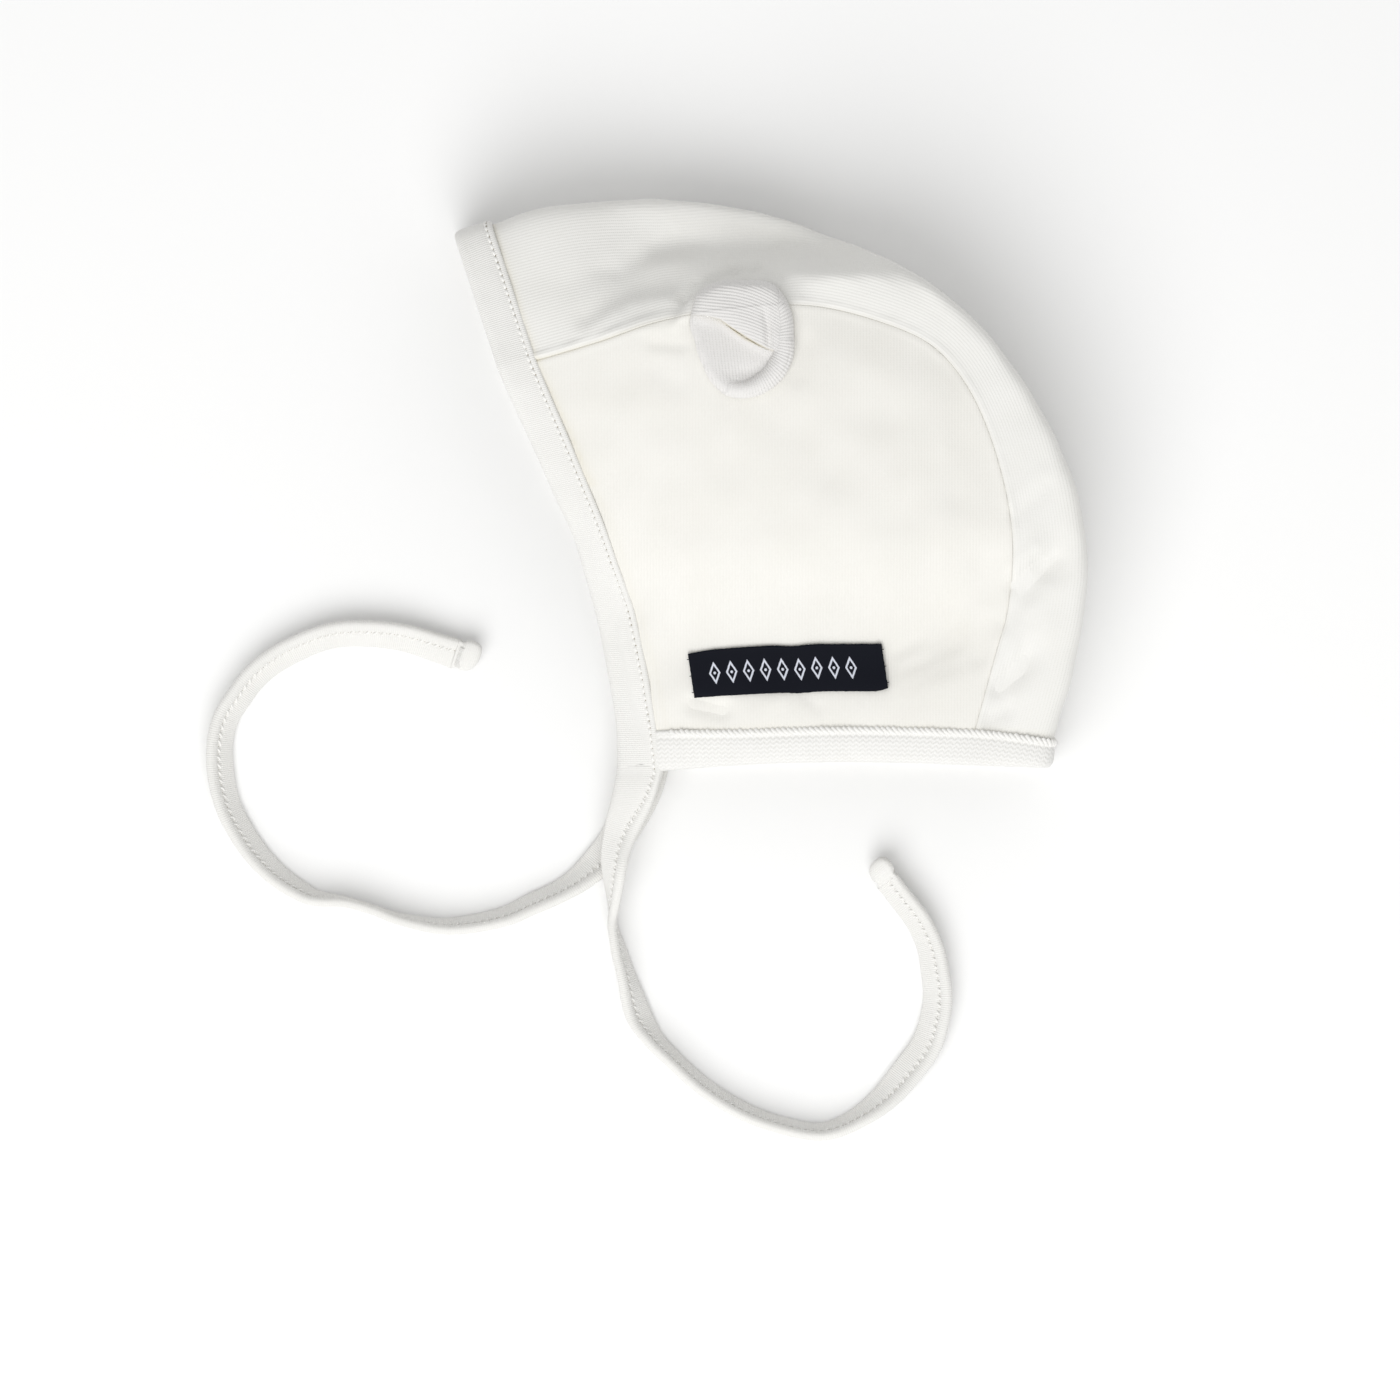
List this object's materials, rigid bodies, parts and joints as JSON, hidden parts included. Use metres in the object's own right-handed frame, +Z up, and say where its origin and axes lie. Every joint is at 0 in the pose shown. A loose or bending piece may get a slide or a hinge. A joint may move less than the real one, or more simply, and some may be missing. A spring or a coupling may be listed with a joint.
{
  "type": "baby bonnet with ears",
  "caption": "Soft jersey baby bonnet with round ears, ribbed bindings and chin ties, lying on its side, hollow and open at the face and neck.",
  "frame": {"origin": "on the surface that the bonnet lies on, under the middle of the bonnet without its ties", "axes": "+X from the face opening to the back of the head, +Y from the neck edge to the top of the head, +Z up from the surface, which is also across the head from side to side"},
  "size_m": [0.2381, 0.2542, 0.0582],
  "materials": {
    "jersey": "brushed off-white cotton jersey, matt, fine vertical wales",
    "rib_binding": "off-white ribbed cotton tape folded over the edge, matt, stitched along its inner edge",
    "woven_label": "dense near-black woven tape, matt, with a plain woven motif"
  },
  "bodies": {
    "root": {"side_panel_near": "jersey", "side_panel_far": "jersey", "centre_panel": "jersey", "ear_near": "jersey", "ear_far": "jersey", "face_binding": "rib_binding", "neck_binding": "rib_binding", "tie_near": "rib_binding", "tie_far": "rib_binding", "tie_tip_near": "rib_binding", "tie_tip_far": "rib_binding", "label": "woven_label"}
  },
  "joints": []
}
